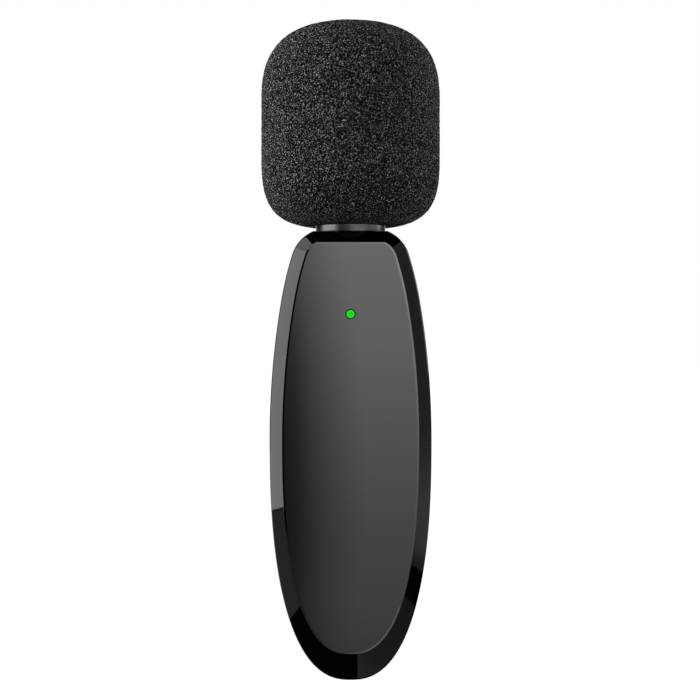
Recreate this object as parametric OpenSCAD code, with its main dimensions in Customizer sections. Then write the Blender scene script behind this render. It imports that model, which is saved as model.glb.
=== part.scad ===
// Clip-on lavalier microphone with its own radio transmitter and rechargeable cell.
// X runs across the housing, Y from the front face back to the clip, and Z up to the foam windscreen.
// The origin is the middle of the clip's bite line, on the housing's flat back face.
// All sizes are in millimetres.

/* [Housing] */
// Width of the housing at its widest point
body_w = 16; // [15.8:0.1:16.4]
// Height of the housing from its rounded tip to its flat top
body_h = 44.31; // [44:0.01:45]
// Depth of the housing from the front face to the back face
body_t = 9.4; // [9.4:0.1:9.8]
// Thickness of the housing walls
wall = 1.1; // [1:0.05:1.15]
// Depth of the polished bevel round the front face
bevel_t = 1.3; // [1.2:0.05:1.35]
// Width of the front bevel along the flanks
bevel_side = 1.32; // [1.25:0.01:1.4]
// Width of the front bevel at the rounded tip
bevel_tip = 2.86; // [2.4:0.02:3]
// Width of the front bevel at the flat top
bevel_top = 1.16; // [1.1:0.02:1.3]
// Width and depth of the bevel round the back face
back_bevel = 1.1; // [0.9:0.05:1.1]
// Width of the gap between the two housing halves
seam = 0.1; // [0.06:0.01:0.12]

/* [Windscreen] */
// Diameter of the foam windscreen
foam_d = 18; // [17.6:0.1:18.4]
// Height of the foam windscreen
foam_h = 20.55; // [20:0.05:21]
// Height of the bare neck that shows between housing and foam
neck_gap = 0.52; // [0.45:0.01:0.6]

/* [Neck and capsule] */
// Outer diameter of the tube that carries the capsule
tube_d = 6.6; // [6.5:0.05:6.65]
// Outer diameter of the bright collar at the foot of the tube
collar_d = 7; // [6.9:0.05:7.1]
// Height of the tube and its grille above the housing
head_h = 10.4; // [10:0.1:10.8]
// Diameter of the electret capsule
capsule_d = 5.96; // [5.9:0.01:5.97]
// Height of the electret capsule
capsule_h = 2.7; // [2.5:0.1:2.8]

/* [Clip] */
// Width of the clip arm
arm_w = 10.4; // [10.2:0.1:10.6]
// Thickness of the clip arm
arm_t = 1.3; // [1.2:0.05:1.35]
// Depth of the throat between the housing and the clip arm
throat = 4.5; // [4.45:0.05:4.6]
// Height of the clip's hinge pin above the bite line
pivot_z = 25; // [24.5:0.25:25.5]
// Distance of the hinge pin behind the housing
pivot_y = 3; // [2.9:0.05:3.1]
// Diameter of the hinge pin
pin_d = 1.2; // [1.1:0.05:1.25]
// Diameter of the torsion spring's wire
wire_d = 0.45; // [0.4:0.05:0.45]

/* [Port, button and light] */
// Height of the charging port above the bite line
port_z = 21.5; // [21.2:0.1:21.8]
// Height of the power button above the bite line
button_z = 19.5; // [19.4:0.1:19.8]
// Height of the status light above the bite line
light_z = 29.02; // [28.6:0.02:29.4]
// Diameter of the light pipe's face
light_d = 0.8; // [0.7:0.05:0.85]

/* [Hidden] */

$fn = 64;
eps = 0.01;

// Heights and depths that the rest is measured from.
tip_drop = 23.76;                     // from the housing's widest point down to its tip
tip_z = -7.06;                        // tip of the housing
wide_z = tip_z + tip_drop;            // widest point of the housing
top_z = tip_z + body_h;               // flat top of the housing
rise = body_h - tip_drop;             // from the widest point up to the flat top
front_y = -body_t;                    // front face
rim_y = front_y + bevel_t;            // outer edge of the front bevel
axis_y = -body_t / 2;                 // axis of the neck, capsule and windscreen
split_y = front_y + 2.4;              // where the two housing halves meet
inner_front_y = front_y + wall;       // inside of the front wall
inner_back_y = -wall;                 // inside of the back wall

// The outline's curves: a superellipse below the widest point, three arcs above it.
tip_power = 2.45;
flank_r = 82;
flank_deg = 9.65;
shoulder_r = 35;
shoulder_deg = 7.65;
corner_r = 3.6;
face_corner_r = 2.1;                  // the front face turns its top corners more tightly,
face_bend_deg = 17.65;                // and starts to turn them higher up
lower_steps = 20;
flank_steps = 5;
shoulder_steps = 4;
corner_steps = 9;

// Neck, capsule and grille.
neck_bore_d = 4;
neck_groove_d = 5.8;
flange_d = 6.2;
flange_t = 0.6;
cup_z = top_z + 4;                    // floor of the cup that holds the capsule
cup_d = capsule_d + 0.04;
head_z = top_z + head_h;              // top of the grille
cap_h = 2.6;
cap_t = 0.2;
spigot_d = tube_d - cap_t;
gasket_h = 1.1;
capsule_z = cup_z + gasket_h;
collar_h = 1;

// Foam windscreen.
foam_z = top_z + neck_gap;
foam_top_z = foam_z + foam_h;
foam_crown = 8.2;                     // height of the rounded crown, and of the rounded foot
crown_power = 2.78;
foot_power = 3.7;
foam_steps = 14;
foam_fit = 0.05;                      // clearance of the foam's bore on the tube

// Screws.
screw_sites = [[0, -4], [-3.4, 32.2], [3.4, 32.2]];
screw_d = 1.4;
pilot_d = 1.1;
screw_hole_d = 1.5;
screw_head_d = 2.4;
screw_head_h = 0.6;
boss_d = 2.4;
post_d = 2.6;
boss_y = -4.6;                        // where a boss meets its post

// Circuit board.
board_back_y = split_y + 0.4;
board_t = 0.8;
board_front_y = board_back_y - board_t;
board_inset = 1.45;
board_bottom_z = -4;
board_top_z = 34.9;

// Charging port.
port_y = -5;
port_mouth_x = -7.3;
port_w = 8.94;
port_h = 3.16;
port_l = 7.35;
port_wall = 0.3;
port_slot = 0.46;                     // how much longer and wider the slot in the housing is

// Power button and its switch.
button_y = -5;
button_w = 5;
button_h = 1.8;
button_gap = 0.1;
button_face_x = 7.84;
button_flange_x = 6.1;
button_flange_t = 0.5;
switch_x = 2.6;
switch_l = 2.9;
switch_w = 4.6;
switch_h = 1.65;
plunger_y = -5.8;
plunger_w = 2;
plunger_h = 0.8;

// Battery.
battery_w = 9.2;
battery_l = 17.2;
battery_t = 4.2;
battery_z = -1.1;
tape_t = 0.1;

// Grip grooves across the housing's back, under the jaw, and across the arm's thumb pad.
bite_grooves = 4;
bite_w = 6.4;
groove_pitch = 0.8;
groove_w = 0.4;
groove_t = 0.15;

// Clip.
arm_mid_z = 15.4;
arm_half_h = 18.4;
arm_power = 3.2;
arm_steps = 48;
arm_mid_y = throat + arm_t / 2;
pad_t = 0.75;
bite_gap = 0.06;
jaw_mid_y = bite_gap + pad_t + arm_t / 2;
jaw_top_z = 1.6;
bend_top_z = 7;
thumb_grooves = 4;
thumb_w = 6;
thumb_z = 27.8;
bend_steps = 10;
cheek_x = 3.7;
cheek_t = 1;
cheek_r = 1.6;
cheek_fit = 0.05;
cheek_root = 0.3;                     // how far a cheek reaches into the arm
ear_x = 2.3;
ear_t = 1.2;
ear_r = 1.25;

// Torsion spring: one leg lies on the housing, the other on the clip arm, and both point up.
coil_r = 1.1;
coil_pitch = 0.9;
coil_whole_turns = 3;
leg_rise = 5;
leg_lean = 0.12;                      // how far the free leg leans back on to the clip arm
curl_steps = 8;
wire_sides = 6;

function smooth(u) = let (v = min(1, max(0, u))) v * v * (3 - 2 * v);

// Points on an arc, from one angle to another, leaving out the first.
function arc(centre, r, from, to, steps) =
    [for (i = [1:steps]) let (t = from + (to - from) * i / steps) centre + r * [cos(t), sin(t)]];

// Right half of the housing's outline as [x, z], from the tip up, drawn in by side, tip and top.
// corner is the radius of its top corner, and bend the angle at which the shoulder meets it.
function half_outline(side, tip, top, corner, bend) =
    let (
        a = body_w / 2 - side,
        b = tip_drop - tip,
        flank_c = [body_w / 2 - flank_r, 0],
        shoulder_c = flank_c + (flank_r - shoulder_r) * [cos(flank_deg), sin(flank_deg)],
        corner_c = shoulder_c + (shoulder_r - side - corner) * [cos(bend), sin(bend)],
        last = asin((rise - top - corner_c[1]) / corner),
        lower = [
            for (i = [0:lower_steps])
                let (t = 90 * i / lower_steps)
                [a * pow(sin(t), 2 / tip_power), -b * pow(cos(t), 2 / tip_power)]
        ]
    )
    concat(
        lower,
        arc(flank_c, flank_r - side, 0, flank_deg, flank_steps),
        arc(shoulder_c, shoulder_r - side, flank_deg, bend, shoulder_steps),
        arc(corner_c, corner, bend, last, corner_steps)
    );

// The whole outline, anticlockwise seen from the front, in the model's own X and Z.
function outline(side = 0, tip = 0, top = 0, corner = undef, bend = flank_deg + shoulder_deg) =
    let (
        half = half_outline(side, tip, top, is_undef(corner) ? corner_r - side : corner, bend),
        n = len(half)
    )
    concat(
        [for (p = half) [p[0], p[1] + wide_z]],
        [for (i = [n - 1:-1:1]) [-half[i][0], half[i][1] + wide_z]]
    );

function inset(d) = outline(d, d, d);

// A prism of an [x, z] outline between two depths.
module slab(points, y0, y1) {
    translate([0, y1, 0]) rotate([90, 0, 0]) linear_extrude(y1 - y0) polygon(points);
}

// A solid through several [depth, outline] rings, whose outlines all have as many points.
module loft(rings) {
    n = len(rings[0][1]);
    last = len(rings) - 1;
    points = [for (ring = rings) for (p = ring[1]) [p[0], ring[0], p[1]]];
    sides = [
        for (k = [0:last - 1], i = [0:n - 1])
            let (j = (i + 1) % n, a = k * n, b = a + n)
            each [[a + i, a + j, b + j], [a + i, b + j, b + i]]
    ];
    front_cap = [for (i = [n - 1:-1:0]) i];
    back_cap = [for (i = [0:n - 1]) last * n + i];
    polyhedron(points, concat([front_cap], sides, [back_cap]));
}

function unit(v) = v / norm(v);

// A round tube along a path; across is a direction that the path never runs along.
module tube(path, d, sides, across) {
    n = len(path);
    function along(i) = unit(path[min(i + 1, n - 1)] - path[max(i - 1, 0)]);
    function first(i) = unit(cross(along(i), across));
    function second(i) = cross(along(i), first(i));
    points = [
        for (i = [0:n - 1], k = [0:sides - 1])
            let (t = 360 * k / sides)
            path[i] + d / 2 * (cos(t) * first(i) + sin(t) * second(i))
    ];
    walls = [
        for (i = [0:n - 2], k = [0:sides - 1])
            let (m = (k + 1) % sides, a = i * sides, b = a + sides)
            each [[a + k, b + k, b + m], [a + k, b + m, a + m]]
    ];
    start_cap = [for (k = [0:sides - 1]) k];
    end_cap = [for (k = [sides - 1:-1:0]) (n - 1) * sides + k];
    polyhedron(points, concat([start_cap], walls, [end_cap]));
}

// A cylinder along Y between two depths, at [x, z].
module y_rod(place, d, y0, y1) {
    translate([place[0], y1, place[1]]) rotate([90, 0, 0]) cylinder(d = d, h = y1 - y0);
}

// A cylinder along X between two places, at [y, z].
module x_rod(place, d, x0, x1) {
    translate([x0, place[0], place[1]]) rotate([0, 90, 0]) cylinder(d = d, h = x1 - x0);
}

// A bar along X with rounded ends: length l along Z, height h along Y.
module x_pill(place, l, h, x0, x1) {
    for (side = [-1, 1]) x_rod([place[0], place[1] + side * (l - h) / 2], h, x0, x1);
    translate([x0, place[0] - h / 2, place[1] - (l - h) / 2]) cube([x1 - x0, h, l - h]);
}

// Places its children on the axis of the neck.
module on_axis(z) {
    translate([0, axis_y, z]) children();
}

// ---- Windscreen and head ----

// Outer profile of the foam as [radius, z], from the foot up to the crown.
function foam_profile() =
    let (
        r = foam_d / 2,
        foot = [
            for (i = [0:foam_steps])
                let (t = 90 * i / foam_steps)
                [r * pow(sin(t), 2 / foot_power), foam_crown * (1 - pow(cos(t), 2 / foot_power))]
        ],
        crown = [
            for (i = [0:foam_steps])
                let (t = 90 * i / foam_steps)
                [
                    r * pow(cos(t), 2 / crown_power),
                    foam_h - foam_crown * (1 - pow(sin(t), 2 / crown_power))
                ]
        ]
    )
    concat(foot, crown);

// Open-cell foam ball with the blind bore that grips the tube and a wider mouth over the collar.
module foam_windscreen() color("#262626") on_axis(foam_z) {
    bore_top = head_z + 0.1 - foam_z;
    mouth_h = top_z + collar_h + 0.1 - foam_z;
    difference() {
        rotate_extrude() polygon(foam_profile());
        translate([0, 0, -eps]) cylinder(d = tube_d + 2 * foam_fit, h = bore_top + eps);
        translate([0, 0, -eps]) cylinder(d = collar_d + 2 * foam_fit, h = mouth_h + eps);
    }
}

// Pressed steel cap with nineteen sound holes.
module grille_cap() color("#8c8f92") on_axis(head_z - cap_h) {
    hole_rings = [[0, 1], [1.15, 6], [2.25, 12]];
    difference() {
        cylinder(d = tube_d, h = cap_h);
        translate([0, 0, -eps]) cylinder(d = spigot_d, h = cap_h - cap_t + eps);
        for (ring = hole_rings, i = [0:ring[1] - 1])
            rotate([0, 0, 360 * i / ring[1]])
                translate([ring[0], 0, cap_h - cap_t - eps]) cylinder(d = 0.6, h = cap_t + 2 * eps, $fn = 12);
    }
}

// Woven disc that keeps dust off the capsule.
module dust_mesh() color("#303338") on_axis(head_z - cap_t - 0.15) cylinder(d = spigot_d - 0.1, h = 0.15);

// Aluminium can with the sound port in its lid and the solder board recessed in its foot.
module electret_capsule() color("#b9bcc0") on_axis(capsule_z) {
    difference() {
        cylinder(d = capsule_d, h = capsule_h);
        translate([0, 0, capsule_h - 0.3]) cylinder(d = 1.2, h = 0.3 + eps);
        translate([0, 0, -eps]) cylinder(d = capsule_d - 0.8, h = 0.25);
    }
}

// Rubber ring that carries the capsule in the tube.
module capsule_gasket() color("#1f1f1f") on_axis(capsule_z - gasket_h) {
    difference() {
        cylinder(d = capsule_d, h = gasket_h);
        translate([0, 0, -eps]) cylinder(d = 3, h = gasket_h + 2 * eps);
    }
}

// Turned tube: a flange inside the housing, a groove that both covers close on, and a cup for the capsule.
module head_tube() color("#9a9da1") on_axis(0) {
    spigot_z = head_z - cap_h;
    flange_z = top_z - wall - flange_t - 0.05;
    difference() {
        union() {
            translate([0, 0, flange_z]) cylinder(d = flange_d, h = flange_t);
            translate([0, 0, flange_z]) cylinder(d = neck_groove_d, h = top_z + 0.05 - flange_z);
            translate([0, 0, top_z + 0.02]) cylinder(d = tube_d, h = spigot_z - top_z - 0.02);
            translate([0, 0, spigot_z - eps]) cylinder(d = spigot_d, h = 1.5);
        }
        translate([0, 0, flange_z - eps]) cylinder(d = neck_bore_d, h = 10);
        translate([0, 0, cup_z]) cylinder(d = cup_d, h = head_h);
    }
}

// Bright ring round the foot of the tube.
module neck_collar() color("#a5a8ab") on_axis(top_z + 0.03) {
    edge = 0.08;
    difference() {
        rotate_extrude() polygon([
            [0, 0], [collar_d / 2 - edge, 0], [collar_d / 2, edge],
            [collar_d / 2, collar_h - edge], [collar_d / 2 - edge, collar_h], [0, collar_h]
        ]);
        translate([0, 0, -eps]) cylinder(d = tube_d, h = collar_h + 2 * eps);
    }
}

// Two insulated wires from the capsule down through the neck to the board.
module mic_leads() color("#b03030") {
    d = 0.5;
    for (x = [-0.6, 0.6])
        tube(
            [
                [x, axis_y, capsule_z + 0.2], [x, axis_y, top_z + 1], [x, axis_y, top_z - 1.6],
                [x, axis_y - 0.3, top_z - 2.8], [x, axis_y - 1, top_z - 3.8],
                [x, board_back_y + 0.5, top_z - 4.3], [x, board_back_y, top_z - 4.5]
            ],
            d, 8, [1, 0, 0]
        );
}

// ---- Housing ----

// Front half: polished bevel, flat face, rebate for the rear half's lip, and three screw bosses.
module front_cover() color("#1c1c1e") {
    rebate_y = split_y - 0.85;
    difference() {
        union() {
            difference() {
                loft([
                    [front_y, outline(bevel_side, bevel_tip, bevel_top, face_corner_r, face_bend_deg)],
                    [rim_y, outline()],
                    [split_y - seam / 2, outline()]
                ]);
                slab(inset(0.65), rebate_y, split_y + 1);
                loft([
                    [inner_front_y, inset(2.1)],
                    [rebate_y + eps, inset(1.6)],
                    [split_y + 1, inset(1.6)]
                ]);
            }
            for (site = screw_sites) y_rod(site, boss_d, inner_front_y - eps, boss_y);
        }
        for (site = screw_sites) y_rod(site, pilot_d, inner_front_y + 0.4, boss_y + eps);
        y_rod([0, light_z], light_d + 0.2, front_y - eps, inner_front_y + eps);
        on_axis(top_z - 2) cylinder(d = neck_groove_d + 0.1, h = 3);
    }
}

// Clear light pipe: a slim face in the front wall and a wider foot over the status light.
module light_pipe() color("#35e03a") {
    y_rod([0, light_z], light_d, front_y + 0.04, inner_front_y + eps);
    y_rod([0, light_z], 1.8, inner_front_y, board_front_y - 0.55);
}

// Two ears on the back face that hold the hinge pin.
module hinge_ears() {
    for (x = [-ear_x - ear_t, ear_x]) {
        x_rod([pivot_y, pivot_z], 2 * ear_r, x, x + ear_t);
        translate([x, -wall / 2, pivot_z - ear_r]) cube([ear_t, pivot_y + wall / 2, 2 * ear_r]);
    }
}

// Rear half: tub with a locating lip, screw posts, port slot, button slot, hinge ears and grip grooves.
module rear_cover() color("#18181a") {
    difference() {
        union() {
            difference() {
                union() {
                    loft([
                        [split_y + seam / 2, outline()],
                        [-back_bevel, outline()],
                        [0, inset(back_bevel)]
                    ]);
                    slab(inset(0.7), split_y - 0.8, split_y + 0.4);
                }
                slab(inset(wall), split_y - 1, inner_back_y);
            }
            for (site = screw_sites) y_rod(site, post_d, boss_y, inner_back_y + eps);
            hinge_ears();
        }
        for (site = screw_sites) {
            y_rod(site, screw_hole_d, boss_y - eps, eps);
            y_rod(site, screw_head_d + 0.1, -screw_head_h - 0.05, eps);
        }
        on_axis(top_z - 2) cylinder(d = neck_groove_d + 0.1, h = 3);
        x_pill([port_y, port_z], port_w + port_slot, port_h + port_slot, -body_w, -4);
        x_pill([button_y, button_z], button_w + 2 * button_gap, button_h + 2 * button_gap, 4, body_w);
        x_rod([pivot_y, pivot_z], pin_d, -body_w, body_w);
        for (i = [0:bite_grooves - 1])
            translate([-bite_w / 2, -groove_t, (i - (bite_grooves - 1) / 2) * groove_pitch - groove_w / 2])
                cube([bite_w, 1, groove_w]);
    }
}

// Self-tapping screws with pan heads and cross slots, put in from the back.
module housing_screws() color("#4a4c50") {
    for (site = screw_sites) difference() {
        union() {
            y_rod(site, screw_d, boss_y - 2.4, -screw_head_h + eps);
            y_rod(site, screw_head_d, -screw_head_h, -0.05);
        }
        for (turn = [45, 135])
            translate([site[0], -0.2, site[1]]) rotate([0, turn, 0]) cube([1.4, 0.6, 0.3], center = true);
    }
}

// ---- Electronics ----

module main_board() color("#1e5a34") {
    difference() {
        intersection() {
            slab(inset(board_inset), board_front_y, board_back_y);
            translate([-body_w / 2, front_y, board_bottom_z])
                cube([body_w, body_t, board_top_z - board_bottom_z]);
        }
        for (site = screw_sites) y_rod(site, boss_d + 0.3, front_y, 0);
    }
}

// A chip on the back of the board, at [x, z] of its middle.
module on_board(place, size) {
    translate([place[0] - size[0] / 2, board_back_y, place[1] - size[2] / 2]) cube(size);
}

module radio_chip() color("#222326") on_board([3.4, 25.2], [4, 0.85, 4]);

module crystal() color("#c4c7ca") on_board([0.9, 29.9], [2, 0.6, 2.5]);

module charger_chip() color("#222326") on_board([-3.4, 28.4], [2.9, 1.1, 1.6]);

module passives() color("#8a6a48") {
    for (i = [0:3]) on_board([1.6 + 1.2 * i, 27.9], [0.5, 0.35, 1]);
    for (i = [0:2]) on_board([-4.4 + 1.2 * i, 30.2], [0.5, 0.35, 1]);
    for (i = [0:2]) on_board([1 + 0.9 * i, 22.45], [0.5, 0.35, 1]);
}

// Ceramic aerial on the front of the board, close under the neck.
module chip_antenna() color("#e8e6df") {
    size = [4, 0.6, 1.6];
    translate([-size[0] / 2, board_front_y - size[1], 32.9]) cube(size);
}

module status_led() color("#f2f2e6") {
    size = [0.8, 0.5, 1.6];
    translate([-size[0] / 2, board_front_y - size[1], light_z - size[2] / 2]) cube(size);
}

module battery_cell() color("#c9ccd2") {
    fold = 0.6;
    y0 = board_back_y + tape_t;
    translate([-battery_w / 2, y0, battery_z]) cube([battery_w, battery_t, battery_l - 1.2]);
    translate([-battery_w / 2 + fold, y0 + 1.2, battery_z + battery_l - 1.2 - eps])
        cube([battery_w - 2 * fold, 1.2, 1.2]);
}

module battery_tape() color("#f0efe8") {
    margin = 0.4;
    translate([margin - battery_w / 2, board_back_y, battery_z + 0.6])
        cube([battery_w - 2 * margin, tape_t, battery_l - 3]);
}

// Two insulated wires from the cell's top edge to the board.
module battery_leads() color("#c03030") {
    y0 = board_back_y + tape_t + 1.8;
    z0 = battery_z + battery_l;
    for (x = [0.7, 1.9])
        tube(
            [
                [x, y0, z0], [x, y0, z0 + 0.8], [x, y0 - 0.2, z0 + 1.6],
                [x, board_back_y + 0.9, z0 + 2.5], [x, board_back_y, z0 + 3]
            ],
            0.5, 8, [1, 0, 0]
        );
}

// ---- Charging port ----

// Drawn steel shell, closed at its inner end.
module usb_shell() color("#b4b7ba") {
    difference() {
        x_pill([port_y, port_z], port_w, port_h, port_mouth_x, port_mouth_x + port_l);
        x_pill(
            [port_y, port_z], port_w - 2 * port_wall, port_h - 2 * port_wall,
            port_mouth_x - 1, port_mouth_x + port_l - port_wall
        );
    }
}

// Moulded tongue on its base block.
module usb_tongue() color("#17181a") {
    tongue_w = 6.69;
    tongue_t = 0.7;
    base_x = port_mouth_x + 5.2;
    back_x = port_mouth_x + port_l - port_wall;
    translate([port_mouth_x + 0.75, port_y - tongue_t / 2, port_z - tongue_w / 2])
        cube([base_x - port_mouth_x, tongue_t, tongue_w]);
    x_pill([port_y, port_z], port_w - 2 * port_wall, port_h - 2 * port_wall, base_x, back_x);
}

// Two rows of twelve gilt contacts laid on the tongue.
module usb_contacts() color("#d4b25a") {
    pads = 12;
    pitch = 0.5;
    pad = [3.2, 0.04, 0.25];
    for (i = [0:pads - 1], y = [port_y - 0.35 - pad[1], port_y + 0.35])
        translate([port_mouth_x + 1.1, y, port_z + (i - (pads - 1) / 2) * pitch - pad[2] / 2]) cube(pad);
}

// ---- Power button ----

// Key with a flange that keeps it in the housing.
module power_button() color("#232325") {
    x_pill([button_y, button_z], button_w, button_h, button_flange_x + eps, button_face_x);
    x_pill(
        [button_y, button_z], button_w + 1.2, button_h + 0.8,
        button_flange_x, button_flange_x + button_flange_t
    );
}

module switch_body() color("#3a3c40") {
    difference() {
        translate([switch_x, board_back_y, button_z - switch_w / 2]) cube([switch_l, switch_h, switch_w]);
        translate([
            switch_x + switch_l - 1, plunger_y - plunger_h / 2 - 0.05, button_z - plunger_w / 2 - 0.05
        ]) cube([2, plunger_h + 0.1, plunger_w + 0.1]);
    }
}

module switch_plunger() color("#d8d2c4") {
    x0 = switch_x + switch_l - 0.6;
    translate([x0, plunger_y - plunger_h / 2, button_z - plunger_w / 2])
        cube([button_flange_x - x0, plunger_h, plunger_w]);
}

// ---- Clip ----

// Middle line of the arm's thickness: the jaw, the bend into the throat and the flat back.
function arm_line(z) =
    jaw_mid_y + (arm_mid_y - jaw_mid_y) * smooth((z - jaw_top_z) / (bend_top_z - jaw_top_z));

function arm_side(z, side) =
    let (step = 0.01, slope = (arm_line(z + step) - arm_line(z - step)) / (2 * step), n = unit([1, -slope]))
    [arm_line(z), z] + side * arm_t / 2 * n;

// Heights at which the arm's side view has a point: none where it is straight, more in the bend.
function arm_stations() =
    let (low = arm_mid_z - arm_half_h - 1, high = arm_mid_z + arm_half_h + 1)
    concat(
        [low],
        [for (i = [0:bend_steps]) jaw_top_z + (bend_top_z - jaw_top_z) * i / bend_steps],
        [high]
    );

function arm_side_view() =
    let (zs = arm_stations(), n = len(zs))
    concat([for (z = zs) arm_side(z, -1)], [for (i = [n - 1:-1:0]) arm_side(zs[i], 1)]);

// Plan of the arm, a long rounded bar, as [x, z].
function arm_plan() =
    [
        for (i = [0:arm_steps - 1])
            let (t = 360 * i / arm_steps, c = cos(t), s = sin(t))
            [
                arm_w / 2 * sign(c) * pow(abs(c), 2 / arm_power),
                arm_mid_z + arm_half_h * sign(s) * pow(abs(s), 2 / arm_power)
            ]
    ];

// Lever with the jaw at its foot, a grooved thumb pad at its head and two cheeks on the hinge pin.
module clip_arm() color("#1a1a1c") {
    difference() {
        union() {
            intersection() {
                translate([-arm_w / 2, 0, 0]) rotate([90, 0, 90])
                    linear_extrude(arm_w) polygon(arm_side_view());
                slab(arm_plan(), -5, 15);
            }
            for (x = [-cheek_x - cheek_t, cheek_x]) {
                x_rod([pivot_y, pivot_z], 2 * cheek_r, x, x + cheek_t);
                translate([x, pivot_y, pivot_z - cheek_r])
                    cube([cheek_t, throat + cheek_root - pivot_y, 2 * cheek_r]);
            }
        }
        x_rod([pivot_y, pivot_z], pin_d + 2 * cheek_fit, -body_w, body_w);
        for (i = [0:thumb_grooves - 1])
            translate([-thumb_w / 2, throat + arm_t - groove_t, thumb_z + i * groove_pitch])
                cube([thumb_w, 1, groove_w]);
    }
}

// Ribbed rubber pad on the jaw.
module clip_pad() color("#101010") {
    pad_w = 6;
    base = 0.4;
    translate([-pad_w / 2, bite_gap + pad_t - base, -1.5]) cube([pad_w, base, 3]);
    for (i = [0:bite_grooves - 1])
        translate([-pad_w / 2, bite_gap, (i - (bite_grooves - 1) / 2) * groove_pitch - groove_w / 2])
            cube([pad_w, pad_t - base + eps, groove_w]);
}

// Steel hinge pin, pressed into the ears and free in the arm's cheeks.
module clip_pin() color("#b0b3b6") x_rod([pivot_y, pivot_z], pin_d, -cheek_x - cheek_t, cheek_x + cheek_t);

// Where the fixed leg ends on the housing, and the angle at which it meets the coil.
leg_end = [wire_d / 2 + 0.02 - pivot_y, leg_rise];
leg_angle = 180 + atan2(-leg_end[0], leg_end[1]) - 90 + acos(coil_r / norm(leg_end));
coil_turns = coil_whole_turns + (360 - leg_angle) / 360;

// A point on the coil's middle line, u turns after the fixed leg.
function coil_point(u) =
    let (t = leg_angle + 360 * u)
    [(u - coil_turns / 2) * coil_pitch, pivot_y + coil_r * cos(t), pivot_z + coil_r * sin(t)];

coil_path = [
    for (i = [0:ceil(coil_turns * curl_steps)]) coil_point(coil_turns * i / ceil(coil_turns * curl_steps))
];
fixed_leg = [-coil_turns * coil_pitch / 2, pivot_y + leg_end[0], pivot_z + leg_end[1]];
free_leg = [coil_turns * coil_pitch / 2, pivot_y + coil_r + leg_lean, pivot_z + leg_rise];
spring_path = concat([fixed_leg], coil_path, [free_leg]);

// Least gap between turns, measured on the path's points one turn or more apart.
spring_gap = min([
    for (i = [0:len(coil_path) - 1], j = [i + curl_steps:1:len(coil_path) - 1])
        norm(coil_path[i] - coil_path[j])
]) - wire_d;
echo(spring_gap = spring_gap);

module clip_spring() color("#c8cacc") tube(spring_path, wire_d, wire_sides, [1, 0, 0]);

foam_windscreen();
grille_cap();
dust_mesh();
electret_capsule();
capsule_gasket();
head_tube();
neck_collar();
mic_leads();
front_cover();
light_pipe();
rear_cover();
housing_screws();
main_board();
radio_chip();
crystal();
charger_chip();
passives();
chip_antenna();
status_led();
battery_cell();
battery_tape();
battery_leads();
usb_shell();
usb_tongue();
usb_contacts();
power_button();
switch_body();
switch_plunger();
clip_arm();
clip_pad();
clip_pin();
clip_spring();
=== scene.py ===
"""Looks for a clip-on lavalier microphone: foam windscreen, polished housing, port, key and spring clip."""

import math
import random

import bmesh
import bpy
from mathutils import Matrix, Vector, noise


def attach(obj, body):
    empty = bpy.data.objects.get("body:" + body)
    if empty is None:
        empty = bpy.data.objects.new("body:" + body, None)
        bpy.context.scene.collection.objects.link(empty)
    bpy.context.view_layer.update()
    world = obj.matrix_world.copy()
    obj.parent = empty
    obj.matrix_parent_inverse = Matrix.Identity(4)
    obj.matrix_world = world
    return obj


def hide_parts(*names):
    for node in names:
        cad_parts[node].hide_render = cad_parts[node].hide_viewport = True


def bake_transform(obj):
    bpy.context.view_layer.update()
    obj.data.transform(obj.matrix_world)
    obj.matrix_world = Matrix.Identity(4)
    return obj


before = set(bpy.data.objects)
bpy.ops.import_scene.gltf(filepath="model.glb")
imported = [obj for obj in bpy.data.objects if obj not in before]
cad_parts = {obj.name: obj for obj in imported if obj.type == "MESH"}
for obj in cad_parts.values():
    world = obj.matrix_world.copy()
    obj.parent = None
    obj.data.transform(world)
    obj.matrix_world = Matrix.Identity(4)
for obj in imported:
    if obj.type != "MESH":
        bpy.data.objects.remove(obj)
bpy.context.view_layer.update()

MM = 0.001  # a millimetre in metres: sizes are in millimetres here, and in metres in Blender

# ---------------------------------------------------------------- sizes

# X runs across the housing, Y from its face back to the clip, and Z up. The origin is the middle of the bite
# line, on the housing's flat back. Sizes are those of the solids, to within 0.1 mm.

# The housing's outline from the front: a round tip, bowed flanks, shoulders, top corners and a flat top.
BODY_W = 16.0
WIDE_Z = 16.7  # height of its widest point
TIP_DROP = 23.76  # from the widest point down to the tip
RISE = 20.55  # from the widest point up to the flat top
TOP_Z = WIDE_Z + RISE
TIP_POWER = 2.45
FLANK_R, FLANK_DEG = 82.0, 9.65
SHOULDER_R, SHOULDER_DEG = 35.0, 7.65
CORNER_R = 3.6
FACE_CORNER_R, FACE_BEND_DEG = 2.1, 17.65  # the face turns its top corners more tightly and higher up

# The housing from front to back.
BODY_T = 9.4
FRONT_Y = -BODY_T
AXIS_Y = -BODY_T / 2  # of the neck, the head and the windscreen
WALL = 1.1
BEVEL_T = 1.3
BEVEL = (1.32, 2.86, 1.21)  # width of the front bevel at the flanks, the tip and the top (1.16 in the solids)
RIM_Y = FRONT_Y + BEVEL_T
LAND_START = 0.975  # how far up the bevel a fine land starts, which the solids leave out
LAND_W, FLAT_FROM = 0.12, 0.16  # how far in from the face's edge it ends, and the face is quite flat
SPLIT_Y = FRONT_Y + 2.4  # where the two covers meet
SEAM = 0.1
SEAM_EDGE = (0.07, 0.08)  # how far in and how deep the covers' edges are softened at the seam
HOLLOW_IN = (2.1, 1.6)  # how far in the front cover is hollow, at its floor and at the step
REBATE_W, REBATE_T = 0.65, 0.85  # step inside the front cover, at the seam
LIP_W, LIP_T = 0.7, 0.8  # lip of the rear cover, which enters that step
FLANK_BACK_Y = -4.2
RIM_EDGE = 0.14  # softened part of the flanks at the front bevel
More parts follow.
